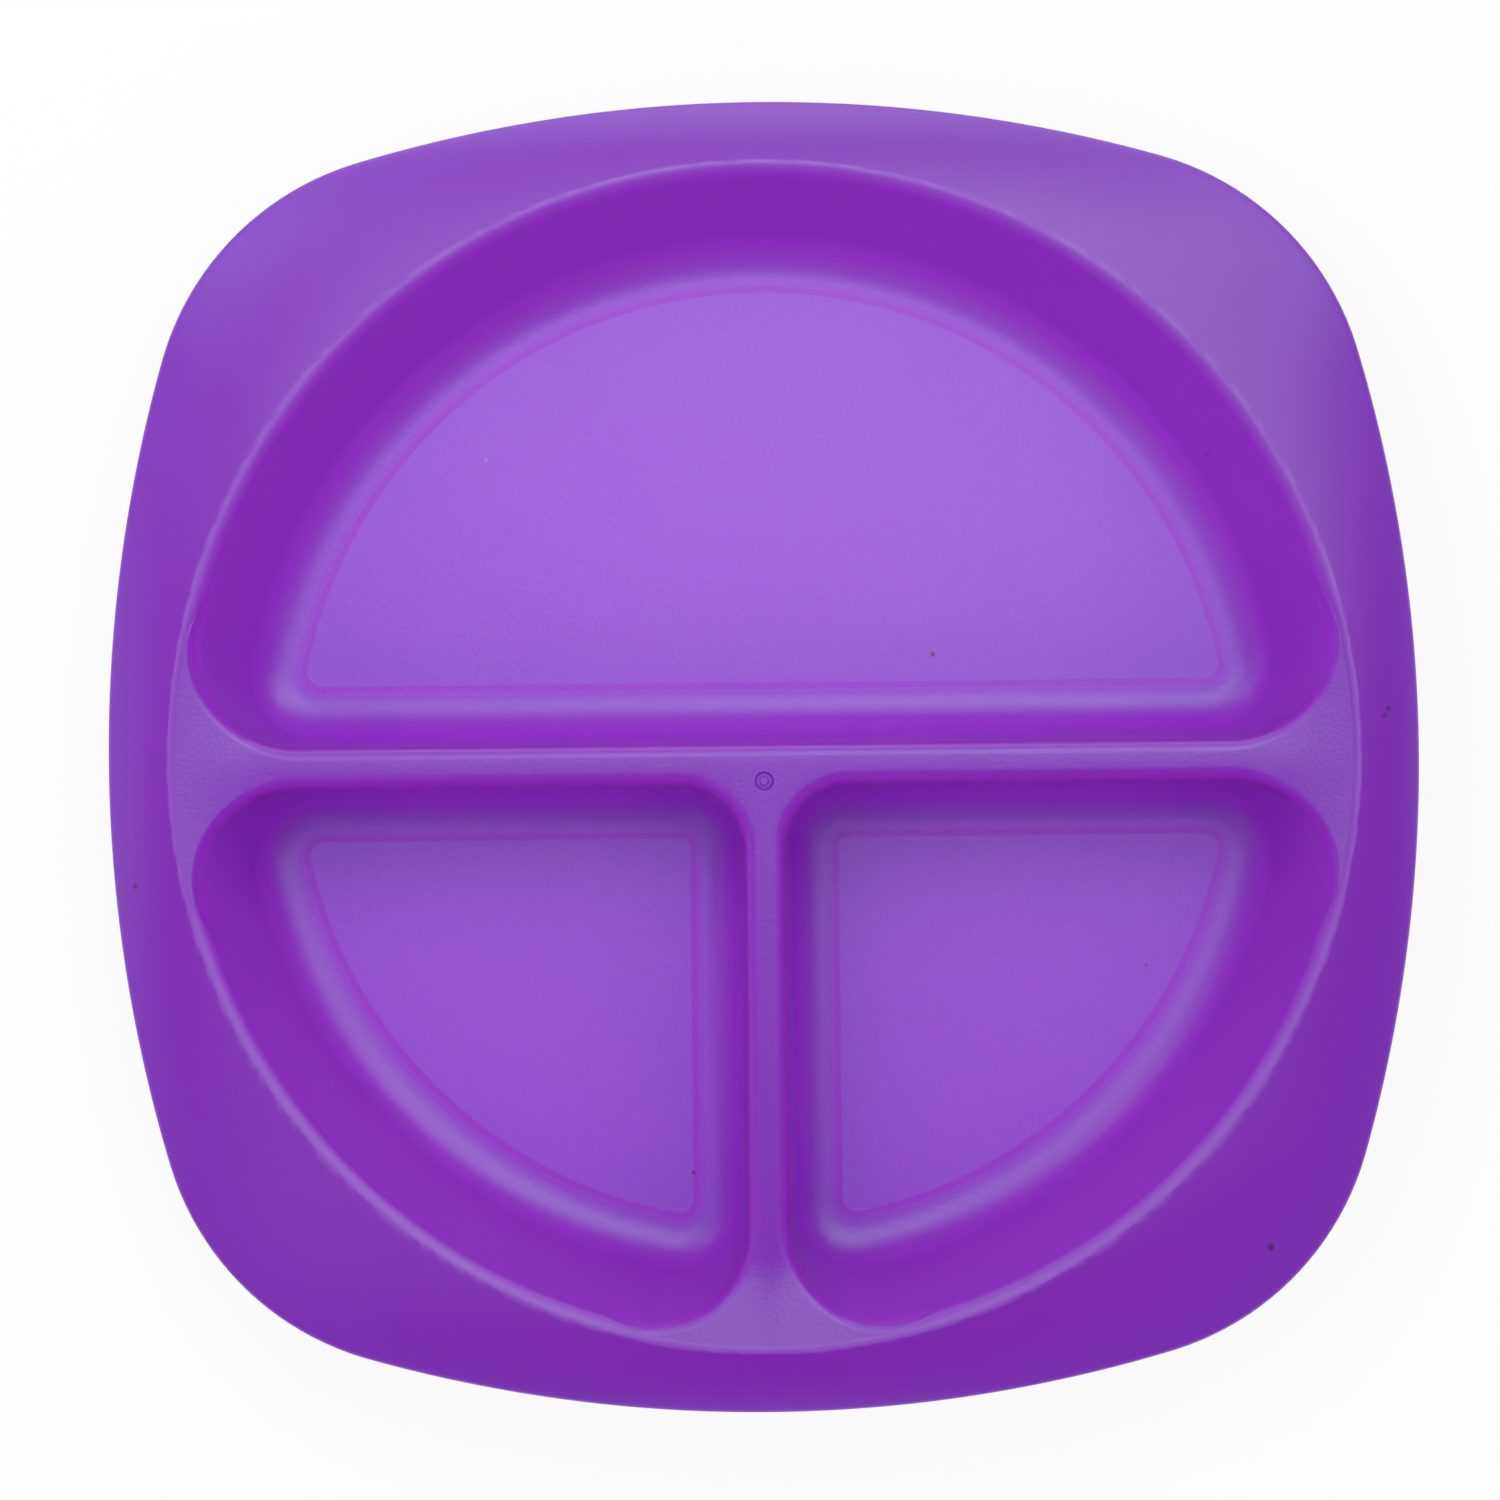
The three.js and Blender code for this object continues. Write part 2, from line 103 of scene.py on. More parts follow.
def wall_inset(side, z, depth):
    reach = side.fillet + depth
    below = floor_top + side.fillet - z
    if below > reach * sin(side.draft):
        return floor_inset(side) - sqrt(max(0, reach**2 - below**2))
    return (side.top - z) * tan(side.draft) - depth / cos(side.draft)


def edge_inset(side, rounding, turn):
    return rounding * (tan(side.draft) - 1 / cos(side.draft) + cos(turn))


def edge_height(side, rounding, turn):
    return side.top - rounding * (1 - sin(turn))


def cut(side, z, depth, divider_inset=None):
    if divider_inset is None:
        divider_inset = wall_inset(side, z, depth)
    bowl_inset = wall_inset(bowl_wall, z, depth)
    bowl_spread = floor_inset(bowl_wall) - bowl_inset
    divider_spread = floor_inset(side) - divider_inset
    return Cut(
        bowl_radius - bowl_inset,
        divider_width / 2 + divider_inset,
        corner_radius + (bowl_spread + divider_spread) / 2,
        inner_corner_radius + divider_spread,
    )


def drawn_in(level, amount):
    return Cut(
        level.radius - amount,
        level.gap + amount,
        level.corner - amount,
        level.inner_corner - amount,
    )


# Plan outlines are complex numbers, x + y j, in even steps without the last point.
def spread(first, last, steps):
    return [first + (last - first) * i / steps for i in range(steps)]


def spread_to(first, last, steps):
    return [*spread(first, last, steps), last]


def arc(centre, radius, first, last, steps):
    return [centre + rect(radius, turn) for turn in spread(first, last, steps)]


def mirrored(plan):
    return [complex(-point.real, point.imag) for point in plan]


def half_corner(level):
    y = level.gap - divider_shift + level.corner
    return complex(sqrt((level.radius - level.corner) ** 2 - y**2), y)


def quarter_corners(level):
    bar_y = divider_shift + level.gap + level.corner
    bar = complex(-sqrt((level.radius - level.corner) ** 2 - bar_y**2), -bar_y)
    stem_x = level.gap + level.corner
    stem = complex(-stem_x, -sqrt((level.radius - level.corner) ** 2 - stem_x**2))
    inside = level.gap + level.inner_corner
    return bar, stem, complex(-inside, -divider_shift - inside)


def lean(point):
    return phase(point) % (2 * pi)


def half_ring(level):
    right = half_corner(level)
    left = complex(-right.real, right.imag)
    rise = lean(right)
    middle = (rise - quarter_turn) / 2
    bar = complex(0, level.gap - divider_shift)
    inside = quarter_corners(quarter_deck)[2].real
    return [
        *arc(right, level.corner, middle, rise, corner_steps),
        *arc(0, level.radius, rise, pi - rise, half_arc_steps),
        *arc(left, level.corner, pi - rise, pi - middle, corner_steps),
        *arc(left, level.corner, pi - middle, 3 * quarter_turn, corner_steps),
        *spread(bar - right.real, bar + inside, line_steps),
        *spread(bar + inside, bar, inner_corner_steps),
        *spread(bar, bar - inside, inner_corner_steps),
        *spread(bar - inside, bar + right.real, line_steps),
        *arc(right, level.corner, -quarter_turn, middle, corner_steps),
    ]


def quarter_ring(level):
    bar, stem, inside = quarter_corners(level)
    bar_middle = (lean(bar) + quarter_turn) / 2
    stem_middle = (lean(stem) + 4 * quarter_turn) / 2
    stem_x = -level.gap
    bar_y = -divider_shift - level.gap
    return [
        *arc(bar, level.corner, bar_middle, lean(bar), corner_steps),
        *arc(0, level.radius, lean(bar), lean(stem), quarter_arc_steps),
        *arc(stem, level.corner, lean(stem), stem_middle, corner_steps),
        *arc(stem, level.corner, stem_middle, 4 * quarter_turn, corner_steps),
        *spread(complex(stem_x, stem.imag), complex(stem_x, inside.imag), line_steps),
        *arc(inside, level.inner_corner, 0, quarter_turn / 2, inner_corner_steps),
        *arc(inside, level.inner_corner, quarter_turn / 2, quarter_turn, inner_corner_steps),
        *spread(complex(inside.real, bar_y), complex(bar.real, bar_y), line_steps),
        *arc(bar, level.corner, quarter_turn, bar_middle, corner_steps),
    ]


# The skin of the moulding grows row by row. Each point notes its share in the areas that are
# coloured differently: floors painted paler as painted light, walls with a painted glow, the
# divider's top, painted shade near its edges, the band over a bead, a painted highlight on the
# round of the rim and a painted sheen on the flange's outer part.
skin = bmesh.new()
area_names = ("floor", "wall", "top", "edge", "bead", "crest", "lip")
areas = {name: skin.verts.layers.float.new(name) for name in area_names}


def row(plan, heights, across=1, **shares):
    made = []
    for i, point in enumerate(plan):
        z = heights[i] if isinstance(heights, list) else heights
        vertex = skin.verts.new((point.real * across, point.imag, z))
        for name, share in shares.items():
            vertex[areas[name]] = share[i] if isinstance(share, list) else share
        made.append(vertex)
    return made


def strip(inner, outer, faces_up):
    for i in range(len(inner) - 1):
        corners = [inner[i], outer[i], outer[i + 1], inner[i + 1]]
        skin.faces.new(corners if faces_up else corners[::-1])


def loop(ring):
    return [*ring, ring[0]]


def stack(rings, faces_up):
    for inner, outer in zip(rings, rings[1:]):
        strip(loop(inner), loop(outer), faces_up)


# The food side of a compartment, from the middle of its floor up to the edge of the divider's top.
# Over the bead the plastic is thicker and redder. The walls carry a painted glow, strongest just
# above the fillet, and next to the divider's top painted shade deepens them to magenta.
bead_width = 1.8 * mm
bead_fade = 0.12 * mm
bead_line = 0.8 * mm
bead_glow = 0.4
# How far below the divider's top the walls carry painted shade.
painted_shade_depth = 18 * mm
# Share of the walls' painted glow left at the divider's top, on its edge rounds, the fans' tips and
# the rim's round.
painted_glow_at_top = 0.55
fillet_fade = 1.8


def food_rings(side, ring, tops, rims, lifts, shifts, across):
    floor_cut = cut(side, floor_top, 0)
    rings = []
    for amount, share in (
        (bead_width + bead_fade, 0),
        (bead_width, 1),
        (bead_width - bead_line, 1),
        (bead_width - bead_line - bead_fade, bead_glow),
        (bead_fade, bead_glow),
    ):
        plan = ring(drawn_in(floor_cut, amount))
        rings.append(row(plan, floor_top, across, floor=1, bead=share))
    upright = quarter_turn - bowl_draft
    heights = [
        floor_top + bowl_fillet * (1 - cos(turn))
        for turn in spread_to(0, upright, fillet_steps)
    ]
    wall_end = edge_height(side, divider_round, divider_draft)
    heights += spread(heights[-1], wall_end, wall_steps)[1:]
    for z in heights:
        climb = min(1, fillet_fade * sqrt((z - floor_top) / bowl_fillet))
        rise = (z - floor_top) / (wall_end - floor_top)
        # Painted glow: the walls' brighter colour is strongest just above the fillet and fades
        # towards the top.
        glow = climb * (1 - rise * (1 - painted_glow_at_top))
        # Painted shade: the walls are painted a darker magenta over their last stretch below the
        # divider's top.
        painted_shade_near_top = max(0, 1 - (wall_end - z) / painted_shade_depth)
        edges = [painted_shade_near_top * rim for rim in rims]
        plan = ring(cut(side, z, 0))
        rings.append(row(plan, z, across, floor=1 - climb, wall=glow, edge=edges))
    for turn in spread_to(divider_draft, quarter_turn, edge_steps):
        z = edge_height(side, divider_round, turn)
        level = (turn - divider_draft) / (quarter_turn - divider_draft)
        outward = tip_lean + (1 - tip_lean) * level
        round_cut = cut(side, z, 0, edge_inset(side, divider_round, turn))
        plan = [
            point * (1 + outward * shift / abs(point))
            for point, shift in zip(ring(round_cut), shifts)
        ]
        heights = [z + lift for lift in lifts]
        flats = [level**2 * top for top in tops]
        # Painted glow on the divider's edge round, fading out onto its flat top.
        walls = [painted_glow_at_top * (1 - flat) for flat in flats]
        # Painted shade fades out up the divider's edge round.
        edges = [(1 - level) ** 2 * rim for rim in rims]
        rings.append(row(plan, heights, across, top=flats, wall=walls, edge=edges))
    return rings


# The divider's flat top. Its bar and its stem are as wide as two walls and the hollow between
# them, and each end opens like a fan, which rises in a shallow dish to the bowl's edge and ends
# there in a small fillet.
flat_inset = edge_inset(half_wall, divider_round, quarter_turn)
half_deck = cut(half_wall, deck_top, 0, flat_inset)
quarter_deck = cut(quarter_wall, deck_top, 0, flat_inset)
bar_end = asin(divider_shift / half_deck.radius)
half_rise = lean(half_corner(half_deck))
deck_bar, deck_stem, deck_inside = quarter_corners(quarter_deck)
half_turns = [
    *spread(-bar_end, half_rise, corner_steps),
    *spread(half_rise, pi - half_rise, half_arc_steps),
    *spread_to(pi - half_rise, pi + bar_end, corner_steps),
]
quarter_turns = [
    *spread(pi + bar_end, lean(deck_bar), corner_steps),
    *spread(lean(deck_bar), lean(deck_stem), quarter_arc_steps),
    *spread_to(lean(deck_stem), 3 * quarter_turn, corner_steps),
]

rim_round = 2.6 * mm
fan_slope = radians(22)
fan_fillet = 0.4 * mm
dish_reach = 11 * mm
dish_curve = 1.2
tip_run = 9 * mm
hollow_run = 2.5 * mm
fan_edge = bowl_radius - edge_inset(bowl_wall, rim_round, quarter_turn - fan_slope)
fan_edge_top = edge_height(bowl_wall, rim_round, quarter_turn - fan_slope)
dish_slope = atan2(dish_curve * (fan_edge_top - deck_top), dish_reach)
dish_end = fan_edge - fan_fillet * (sin(fan_slope) - sin(dish_slope))
dish_height = fan_edge_top - fan_fillet * (cos(dish_slope) - cos(fan_slope)) - deck_top
tip_shift = dish_end - half_deck.radius
tip_lean = dish_height * tan(bowl_draft) / tip_shift


def eased(share):
    share = min(1, max(0, share))
    return share**2 * (3 - 2 * share)


# How far a point at this radius is up the dish of a fan, which ends at the given radius.
def dished(radius, end):
    return min(1, max(0, (radius - dish_end + dish_reach) / (end - dish_end + dish_reach)))


def dish_lift(radius):
    return dish_height * dished(radius, dish_end) ** dish_curve


# Which points of a ring stand clear of the bowl, on the divider.
touching = wall / 100


def divider_points(plan):
    return [int(half_deck.radius - abs(point) > touching) for point in plan]


# The tips of the fans run on along the bowl's edge and die out there.
def fan_shares(plan, tops):
    beside = [i for i, top in enumerate(tops) if not top]
    tips = plan[beside[0]], plan[beside[-1]]
    return [
        1 if top else eased(1 - min(abs(point - tip) for tip in tips) / tip_run)
        for point, top in zip(plan, tops)
    ]


def middle_lines(end_radius):
    corner_x = -(half_corner(half_deck).real - deck_bar.real) / 2
    crossing = complex(0, -divider_shift)
    bar = [
        *spread(rect(end_radius, pi + bar_end), crossing + corner_x, corner_steps),
        *spread(crossing + corner_x, crossing + deck_inside.real, line_steps),
        *spread(crossing + deck_inside.real, crossing, inner_corner_steps),
    ]
    stem_corner = complex(0, deck_stem.imag)
    stem_inside = complex(0, deck_inside.imag)
    stem = [
        *spread(complex(0, -end_radius), stem_corner, corner_steps),
        *spread(stem_corner, stem_inside, line_steps),
        *spread(stem_inside, crossing, inner_corner_steps),
    ]
    return bar[1:], stem[1:], crossing


def half_middle(end_radius):
    bar, _, crossing = middle_lines(end_radius)
    return [*bar, crossing, *mirrored(bar)[::-1]]


def quarter_middle(end_radius):
    bar, stem, crossing = middle_lines(end_radius)
    return [*stem, crossing, *bar[::-1]]


def fan_rows(shares, turns, across):
    rows = []
    for slope in spread_to(dish_slope, fan_slope, edge_steps):
        radius = fan_edge - fan_fillet * (sin(fan_slope) - sin(slope))
        rise = fan_edge_top - fan_fillet * (cos(slope) - cos(fan_slope)) - deck_top
        reach = radius - half_deck.radius
        plan = [
            rect(half_deck.radius + share * reach, way) for share, way in zip(shares, turns)
        ]
        heights = [deck_top + share * rise for share in shares]
        # Painted glow on the parts of the fan rows that run along the bowl's edge beyond the
        # divider.
        walls = [painted_glow_at_top * (1 - share) for share in shares]
        rows.append(row(plan, heights, across, top=shares, wall=walls))
    return rows


# The rim. A wide round leads up from the bowl to a fine ridge, and from there the flange bends
# down to a round nose. Its outline is a square with bowed sides and round corners.
side_arc_radius = 206 * mm
corner_arc_radius = 41 * mm
lip_drop = 5 * mm
lip_bend = radians(20)
nose_steps = 6
flange_steps = 28
flange_trials = 4

side_centre = side_arc_radius - plate_width / 2
arc_gap = side_arc_radius - corner_arc_radius
corner_centre = (sqrt(2 * arc_gap**2 - side_centre**2) - side_centre) / 2


def outline_reach(turn, amount):
    bend = abs(turn - round(turn / quarter_turn) * quarter_turn)
    side_radius = side_arc_radius - amount
    along_x = side_radius * (corner_centre + side_centre) / arc_gap - side_centre
    along_y = side_radius * corner_centre / arc_gap
    if bend < atan2(along_y, along_x):
        centre = complex(-side_centre, 0)
        radius = side_radius
    else:
        centre = complex(corner_centre, corner_centre)
        radius = corner_arc_radius - amount
    nearest = centre.real * cos(bend) + centre.imag * sin(bend)
    return nearest + sqrt(radius**2 - abs(centre) ** 2 + nearest**2)


nose_radius = wall / 2
ridge = bowl_radius - edge_inset(bowl_wall, rim_round, quarter_turn)


# The flange's section along a ray, an arc from the ridge to the nose: how far out, how far down
# and how steep. It drops as far and bends as much all round, so it is flatter at the corners.
def flange_section(way):
    lip_end = nose_radius
    for _ in range(flange_trials):
        width = outline_reach(way, lip_end) - ridge
        middle = atan2(lip_drop, width)
        lip_end = nose_radius * (1 - sin(middle + lip_bend / 2))
    first = middle - lip_bend / 2
    radius = width / (sin(first + lip_bend) - sin(first))
    slopes = spread_to(first, first + lip_bend, flange_steps)
    return [
        (radius * (sin(slope) - sin(first)), radius * (cos(first) - cos(slope)), slope)
        for slope in slopes
    ]


def rim_rows(shares, turns, across):
    starts = [
        bowl_draft + share * (quarter_turn - fan_slope - bowl_draft) for share in shares
    ]
    rows = []
    for level in spread_to(0, 1, edge_steps):
        bends = [start + level * (quarter_turn - start) for start in starts]
        plan = [
            rect(bowl_radius - edge_inset(bowl_wall, rim_round, bend), way)
            for bend, way in zip(bends, turns)
        ]
        heights = [edge_height(bowl_wall, rim_round, bend) for bend in bends]
        # Painted glow on the rim's round, fading out towards the ridge.
        walls = [painted_glow_at_top * (1 - level) * (1 - share) for share in shares]
        # Painted highlight: the rim's round is painted paler towards the ridge.
        rows.append(row(plan, heights, across, wall=walls, crest=level**3))
    sections = [flange_section(way) for way in turns]
    above = []
    below = []
    for step, points in enumerate(zip(*sections)):
        plan = [rect(ridge + along, way) for (along, drop, slope), way in zip(points, turns)]
        heights = [rim_top - drop for along, drop, slope in points]
        # Painted sheen: the flange is painted paler towards its nose.
        above.append(row(plan, heights, across, lip=(step / flange_steps) ** 2))
        plan = [
            rect(ridge + along - wall * sin(slope), way)
            for (along, drop, slope), way in zip(points, turns)
        ]
        heights = [rim_top - drop - wall * cos(slope) for along, drop, slope in points]
        below.append(row(plan, heights, across))
    nose = []
    for bend in spread(0, pi, 2 * nose_steps)[1:]:
        lasts = [section[-1][2] for section in sections]
        plan = [
            rect(outline_reach(way, nose_radius * (1 - sin(last + bend))), way)
            for last, way in zip(lasts, turns)
        ]
        heights = [
            rim_top - lip_drop + nose_radius * (cos(last + bend) - cos(last)) for last in lasts
        ]
        # Painted sheen at full strength round the nose.
        nose.append(row(plan, heights, across, lip=1))
    under = rim_top - wall
    under_radius = bowl_radius - wall_inset(bowl_wall, under, wall)
    inside = row([rect(under_radius, way) for way in turns], under, across)
    return [*rows, *above[1:], *nose, *below[:0:-1], inside]


# The underside follows the food side one wall lower. The divider and the rim are hollow from
# below, and under the edge of each floor runs the bead that the plate stands on.
bead_bevel = 0.3 * mm


def under_rings(side, ring, lifts, across):
    under = floor_top - wall
    floor_cut = cut(side, under, wall)
    rings = [
        row(ring(drawn_in(floor_cut, amount)), z, across)
        for amount, z in (
            (bead_width, under),
            (bead_width - bead_bevel, under - bead_height),
            (bead_bevel, under - bead_height),
        )
    ]
    reach = bowl_fillet + wall
    heights = [
        floor_top + bowl_fillet - reach * cos(turn)
        for turn in spread_to(0, quarter_turn - bowl_draft, fillet_steps)
    ]
    hollow_top = deck_top - wall
    heights += spread(heights[-1], hollow_top, wall_steps)[1:]
    rings += [row(ring(cut(side, z, wall)), z, across) for z in heights]
    hollow_plan = ring(cut(side, hollow_top, wall))
    return [*rings, row(hollow_plan, [hollow_top + lift for lift in lifts], across)]


def moulded_region(side, ring, turns, middle, across=1):
    up = across > 0
    deck_plan = ring(cut(side, deck_top, 0, flat_inset))
    tops = divider_points(deck_plan)
    shares = fan_shares(deck_plan, tops)
    climbs = [dished(abs(point), half_deck.radius) for point in deck_plan]
    lifts = [
        share * dish_height * climb**dish_curve for share, climb in zip(shares, climbs)
    ]
    shifts = [share * tip_shift * climb for share, climb in zip(shares, climbs)]
    rims = [1 - climb for climb in climbs]
    food = food_rings(side, ring, shares, rims, lifts, shifts, across)
    floor = food[0] if up else food[0][::-1]
    skin.faces.new(floor)
    stack(food, up)
    fans = fan_rows(shares[: len(turns)], turns, across)
    deck_line = middle(dish_end)
    heights = [deck_top + dish_lift(abs(point)) for point in deck_line]
    deck_middle = row(deck_line, heights, across, top=1)
    strip(loop(food[-1]), loop([*fans[0], *deck_middle]), up)
    inner_shares = [eased((half_deck.radius - abs(point)) / hollow_run) for point in deck_plan]
    inner_lifts = [share * dish_lift(abs(point)) for share, point in zip(inner_shares, deck_plan)]
    under = under_rings(side, ring, inner_lifts, across)
    floor = under[0][::-1] if up else under[0]
    skin.faces.new(floor)
    stack(under, not up)
    hollow_top = deck_top - wall
    top_radius = cut(side, hollow_top, wall).radius
    heights = [hollow_top + share * dish_height for share in inner_shares[: len(turns)]]
    hollow_row = row([rect(top_radius, way) for way in turns], heights, across)
    hollow_line = middle(top_radius)
    heights = [hollow_top + dish_lift(abs(point)) for point in hollow_line]
    hollow_middle = row(hollow_line, heights, across)
    strip(loop(under[-1]), loop([*hollow_row, *hollow_middle]), not up)
    rows = [*fans, *rim_rows(shares[: len(turns)], turns, across), hollow_row]
    for inner, outer in zip(rows, rows[1:]):
        strip(inner, outer, up)


weld_gap = 0.001 * mm
moulded_region(half_wall, half_ring, half_turns, half_middle)
moulded_region(quarter_wall, quarter_ring, quarter_turns, quarter_middle)
moulded_region(quarter_wall, quarter_ring, quarter_turns, quarter_middle, across=-1)
bmesh.ops.remove_doubles(skin, verts=skin.verts, dist=weld_gap)
bmesh.ops.dissolve_degenerate(skin, edges=skin.edges, dist=weld_gap)

# The mark of the injection gate. Where the stem joins the bar, the hot runner left a ring-shaped
# groove in the divider's top, round a nub as high as the top itself.
gate_offset = 2.45 * mm
gate = complex(0, -divider_shift - gate_offset)
gate_radius = 1.4 * mm
nub_radius = 0.65 * mm
nub_round = 0.15 * mm
gate_depth = 0.35 * mm
gate_bevel = 0.3 * mm
gate_room = 0.25 * mm
gate_steps = 48


def gate_distance(edge):
    first, last = (complex(*vertex.co.xy) - gate for vertex in edge.verts)
    along = last - first
    share = -(first * along.conjugate()).real / abs(along) ** 2
    return abs(first + along * min(1, max(0, share)))


def gate_ring(radius, drop):
    plan = arc(gate, radius, 0, 4 * quarter_turn, gate_steps)
    return row(plan, deck_top - drop, top=1)


on_top = [
    face
    for face in skin.faces
    if all(abs(vertex.co.z - deck_top) < weld_gap for vertex in face.verts)
    and min(gate_distance(edge) for edge in face.edges) < gate_radius + gate_room
]
bmesh.ops.delete(skin, geom=on_top, context="FACES")
gate_rows = [
    gate_ring(radius, drop)
    for radius, drop in (
        (gate_radius, 0),
        (gate_radius - gate_bevel, gate_depth),
        (nub_radius, gate_depth),
        (nub_radius, nub_round),
        (nub_radius - nub_round, 0),
    )
]
stack(gate_rows[::-1], True)
skin.faces.new(gate_rows[-1])
hole = [edge for edge in skin.edges if edge.is_boundary]
patch = bmesh.ops.triangle_fill(skin, edges=hole, use_beauty=True, normal=(0, 0, 1))
for piece in patch["geom"]:
    if isinstance(piece, bmesh.types.BMFace) and piece.normal.z < 0:
        piece.normal_flip()

sharp_edge = radians(35)
plate_mesh = bpy.data.meshes.new("plate_moulding")
skin.to_mesh(plate_mesh)
skin.free()
plate_mesh.shade_smooth()
plate_mesh.set_sharp_from_angle(angle=sharp_edge)
plate = bpy.data.objects.new("plate_moulding", plate_mesh)
bpy.context.scene.collection.objects.link(plate)
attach(plate, "root")
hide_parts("plate")


# The plastic, a satin purple that lets a little light through. The mould's floors and divider top
# were spark-eroded to a fine matt grain, and its walls and rim were left smoother. Light and shade
# are painted into the colour: floors are painted paler for the table's light through the plastic
# and their sheen, walls carry a painted glow brighter than the rim, painted shade deepens their
# tops to magenta, the rim's round carries a painted highlight and the flange a painted sheen that
# grows towards its nose.
class Feed:
    def __init__(self, tree, socket):
        self.tree = tree
        self.socket = socket

    def node(self, kind, settings, sockets, output=0):
        made = self.tree.nodes.new("ShaderNode" + kind)
        for name, value in settings.items():
            setattr(made, name, value)
        for name, value in sockets.items():
            if isinstance(value, Feed):
                self.tree.links.new(value.socket, made.inputs[name])
            else:
                made.inputs[name].default_value = value
        return Feed(self.tree, made.outputs[output] if made.outputs else None)

    def maths(self, operation, first, last):
        return self.node("Math", {"operation": operation}, {0: first, 1: last})

    def __add__(self, other):
        return self.maths("ADD", self, other)

    def __radd__(self, other):
        return self.maths("ADD", other, self)

    def __sub__(self, other):
        return self.maths("SUBTRACT", self, other)

    def __rsub__(self, other):
        return self.maths("SUBTRACT", other, self)

    def __mul__(self, other):
        return self.maths("MULTIPLY", self, other)

    def __rmul__(self, other):
        return self.maths("MULTIPLY", other, self)

    def rising(self, low, high):
        span = {"From Min": low, "From Max": high}
        return self.node("MapRange", {"interpolation_type": "SMOOTHSTEP"}, {"Value": self, **span})


def fresh_material(name):
    material = bpy.data.materials.new(name)
    material.use_nodes = True
    material.node_tree.nodes.clear()
    return material, Feed(material.node_tree, None)


def blended(paint, share, first, last):
    colour = {"data_type": "RGBA"}
    return paint.node("Mix", colour, {0: share, 6: first, 7: last}, 2)


rim_purple = (0.237, 0.008, 0.471, 1)
# Paler colour for the painted sheen towards the flange's outer edge.
lip_lilac = (0.238, 0.022, 0.51, 1)
# Wall colour with a painted glow, brighter than the rim, standing in for light through the plastic.
wall_purple_painted_glow = (0.405, 0.041, 0.665, 1)
# Paler colour for the painted highlight along the rim's ridge.
crest_lilac = (0.27, 0.052, 0.5, 1)
# Darker magenta for the painted shade at the tops of the walls beside the divider.
painted_shade_magenta = (0.27, 0.006, 0.41, 1)
top_purple = (0.232, 0.008, 0.473, 1)
# Floor colour with painted light: paler, standing in for the table's light through the plastic and
# the matt sheen.
floor_purple_painted_light = (0.388, 0.074, 0.688, 1)
bead_purple = (0.41, 0.018, 0.67, 1)
speck_brown = (0.07, 0.006, 0.12, 1)
fleck_lilac = (0.5, 0.28, 0.75, 1)
sheen_tint = (0.72, 0.88, 1, 1)
satin_roughness = 0.44
wall_polish = 0.04
top_polish = 0.08
mottle_depth = 0.06
smooth_grain = 0.35
matt_grain = 0.65
grain_strength = 0.7
grain_depth = 0.06 * mm
glow_reach = (1, 0.35, 1)
glow_depth = 1.5 * mm
mottle_scale = 60
grain_scale = 1900
noise_middle = 0.5

plastic, paint = fresh_material("satin_purple_plastic")
floor_area, wall_and_painted_glow_area, top_area, painted_shade_area, bead_area, crest_area, lip_area = (
    paint.node("Attribute", {"attribute_name": name}, {}, "Fac") for name in area_names
)
place = paint.node("TexCoord", {}, {}, "Object")

mottle = paint.node("TexNoise", {}, {"Vector": place, "Scale": mottle_scale, "Detail": 3}, "Fac")
grain = paint.node("TexNoise", {}, {"Vector": place, "Scale": grain_scale, "Detail": 4}, "Fac")

# Painted glow: the walls take the brighter wall colour.
colour = blended(paint, wall_and_painted_glow_area, rim_purple, wall_purple_painted_glow)
# Painted highlight: the rim's round turns paler towards the ridge.
colour = blended(paint, crest_area, colour, crest_lilac)
# Painted sheen: the flange turns paler towards its nose.
colour = blended(paint, lip_area, colour, lip_lilac)
colour = blended(paint, top_area, colour, top_purple)
# Painted shade: a darker magenta at the tops of the walls beside the divider.
colour = blended(paint, painted_shade_area, colour, painted_shade_magenta)
# Painted light: the floors and the foot of each fillet take the paler floor colour.
colour = blended(paint, floor_area, colour, floor_purple_painted_light)
colour = blended(paint, bead_area, colour, bead_purple)

# Specks of scorched plastic, and one pale fleck, are frozen into the moulding: place and radius.
dark_specks = (
    (complex(71.4, -70.4), 0.55),
    (complex(88.8, 6.0), 0.42),
    (complex(88.2, 5.0), 0.34),
    (complex(-89.6, -17.4), 0.42),
    (complex(25.0, 14.8), 0.4),
    (complex(-10.9, -60.9), 0.36),
    (complex(64.8, 43.1), 0.2),
    (complex(55.9, -31.1), 0.2),
)
pale_fleck = (complex(-40.3, 44.0), 0.3)
scorch_depth = 0.8
fleck_depth = 0.5
speck_rag = 0.6
speck_outside = 1.25
speck_inside = 0.55
rag_scale = 1500
flat_place = paint.node("VectorMath", {"operation": "MULTIPLY"}, {0: place, 1: (1, 1, 0)})
ragged = paint.node("TexNoise", {}, {"Vector": place, "Scale": rag_scale, "Detail": 2}, "Fac")


def speck(centre, radius):
    middle = (centre.real * mm, centre.imag * mm, 0)
    ends = {0: flat_place, 1: middle}
    away = paint.node("VectorMath", {"operation": "DISTANCE"}, ends, "Value")
    away = away + (ragged - noise_middle) * (speck_rag * radius * mm)
    return away.rising(speck_outside * radius * mm, speck_inside * radius * mm)


scorched = speck(*dark_specks[0])
for centre, radius in dark_specks[1:]:
    scorched = paint.maths("MAXIMUM", scorched, speck(centre, radius))
colour = blended(paint, scorch_depth * scorched, colour, speck_brown)
colour = blended(paint, fleck_depth * speck(*pale_fleck), colour, fleck_lilac)

